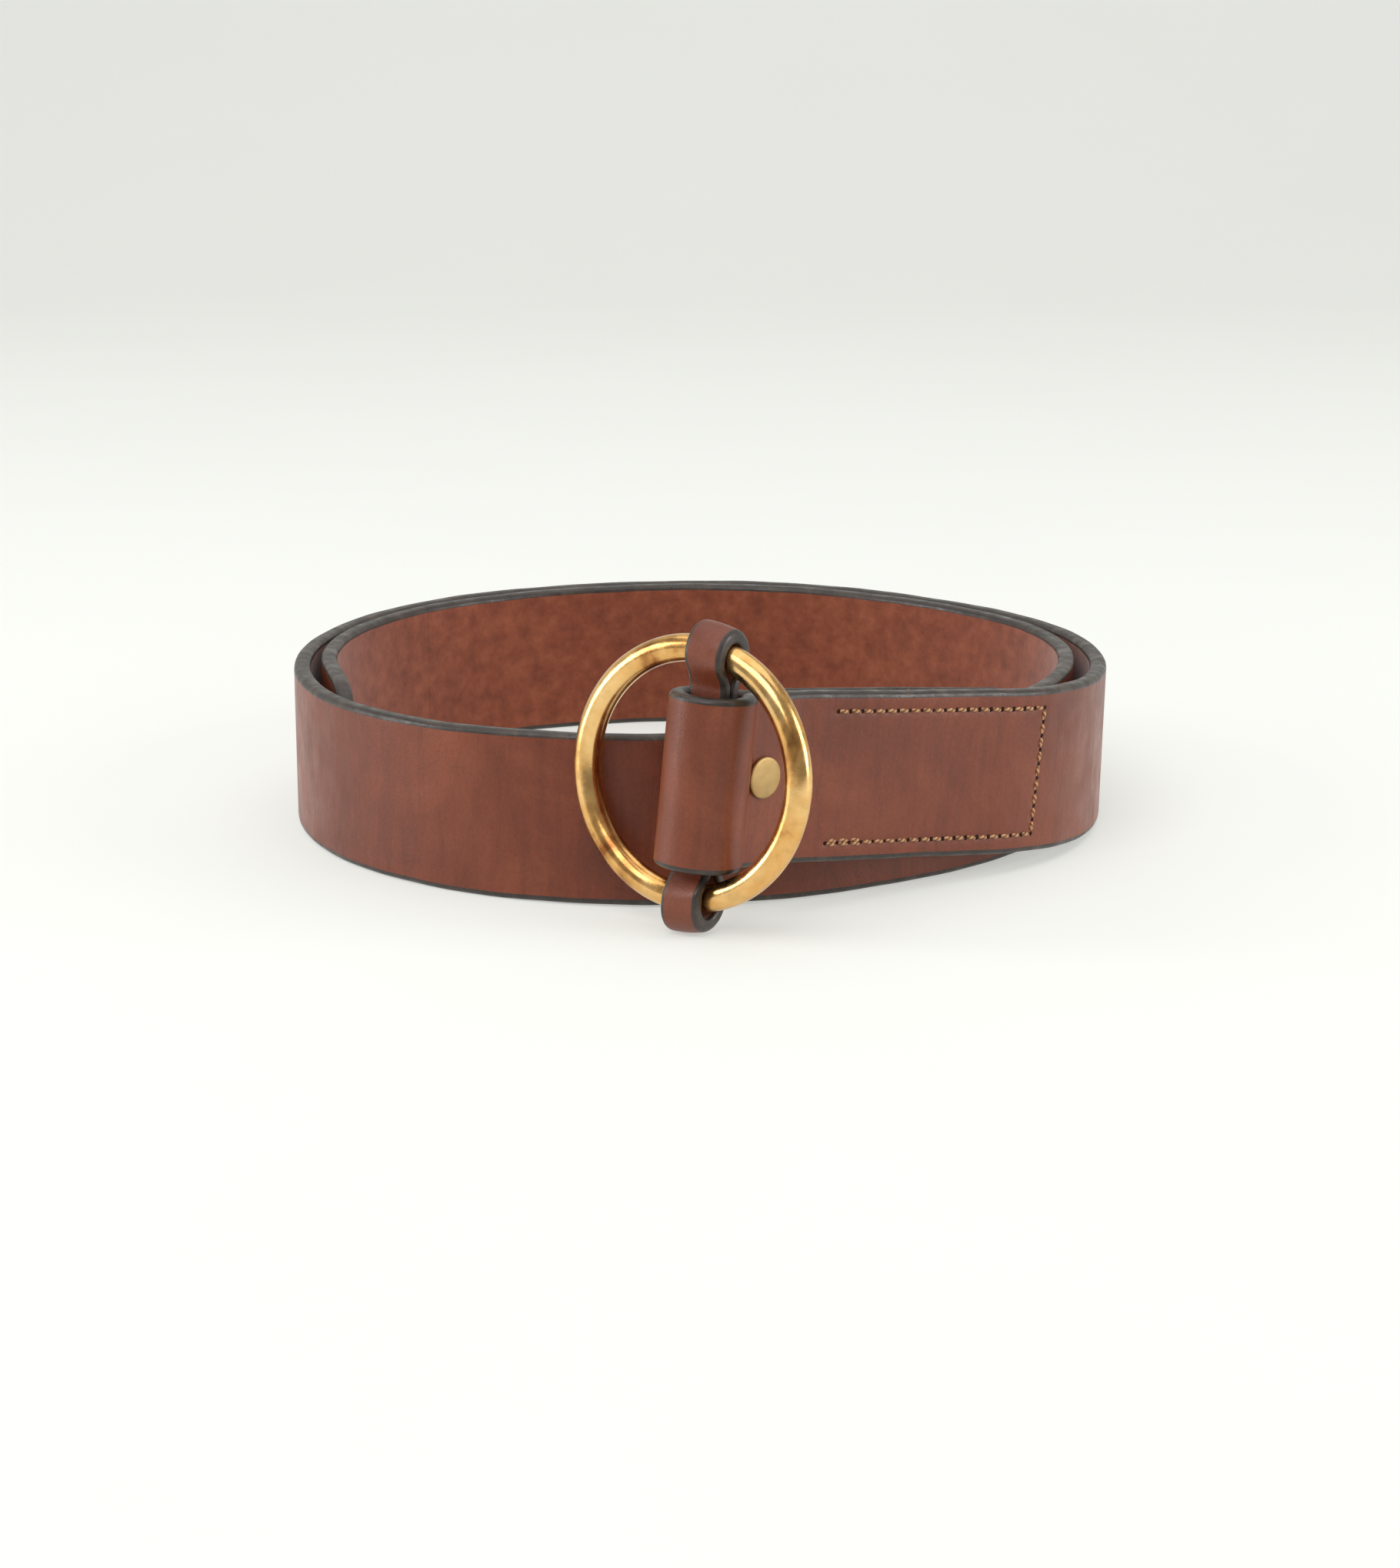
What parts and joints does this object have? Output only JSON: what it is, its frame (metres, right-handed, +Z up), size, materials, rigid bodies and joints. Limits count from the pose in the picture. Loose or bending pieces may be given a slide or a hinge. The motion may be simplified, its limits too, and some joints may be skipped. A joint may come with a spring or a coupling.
{
  "type": "leather belt",
  "caption": "Plain strap of thick leather, coiled and standing on its edge, with a metal ring held by a folded link strap, riveted and stitched.",
  "frame": {"origin": "centre of the bounding box, on the surface the coil stands on", "axes": "+Z up, across the strap's width; -Y towards the ring and its fold; +X to the right of someone facing the ring"},
  "size_m": [0.1977, 0.2236, 0.0675],
  "materials": {
    "strap_leather": "waxed chestnut grain, satin",
    "link_leather": "waxed chestnut grain, satin",
    "ring_brass": "polished, tarnished",
    "rivet_brass": "dull",
    "thread": "waxed"
  },
  "bodies": {
    "coil": {"strap_coil": "strap_leather"},
    "buckle_end": {"strap_buckle_end": "strap_leather", "rivet": "rivet_brass", "burr": "rivet_brass", "needle_thread": "thread", "bobbin_thread": "thread"},
    "link": {"link_strap": "link_leather"},
    "ring": {"ring": "ring_brass"},
    "tail": {"strap_tail": "strap_leather"}
  },
  "joints": [
    {"name": "buckle_flex", "type": "hinge", "parent": "coil", "child": "buckle_end", "pos_m": [0.08354, -0.03429, 0.02], "axis": [0, 0, 1], "range_deg": [0, 30], "stiffness_Nm_per_rad": 0.2},
    {"name": "ring_swivel", "type": "hinge", "parent": "buckle_end", "child": "link", "pos_m": [0.00121, -0.0959, 0.03413], "axis": [0.0946, 0.0622, 0.9936], "range_deg": [0, 40]},
    {"name": "ring_spin", "type": "hinge", "parent": "link", "child": "ring", "pos_m": [-0.00195, -0.09379, 0.0343], "axis": [-0.5475, -0.8303, 0.1041], "continuous": true},
    {"name": "tail_flex", "type": "hinge", "parent": "coil", "child": "tail", "pos_m": [-0.08168, 0.05933, 0.02], "axis": [0, 0, 1], "range_deg": [0, 40], "stiffness_Nm_per_rad": 0.2}
  ]
}
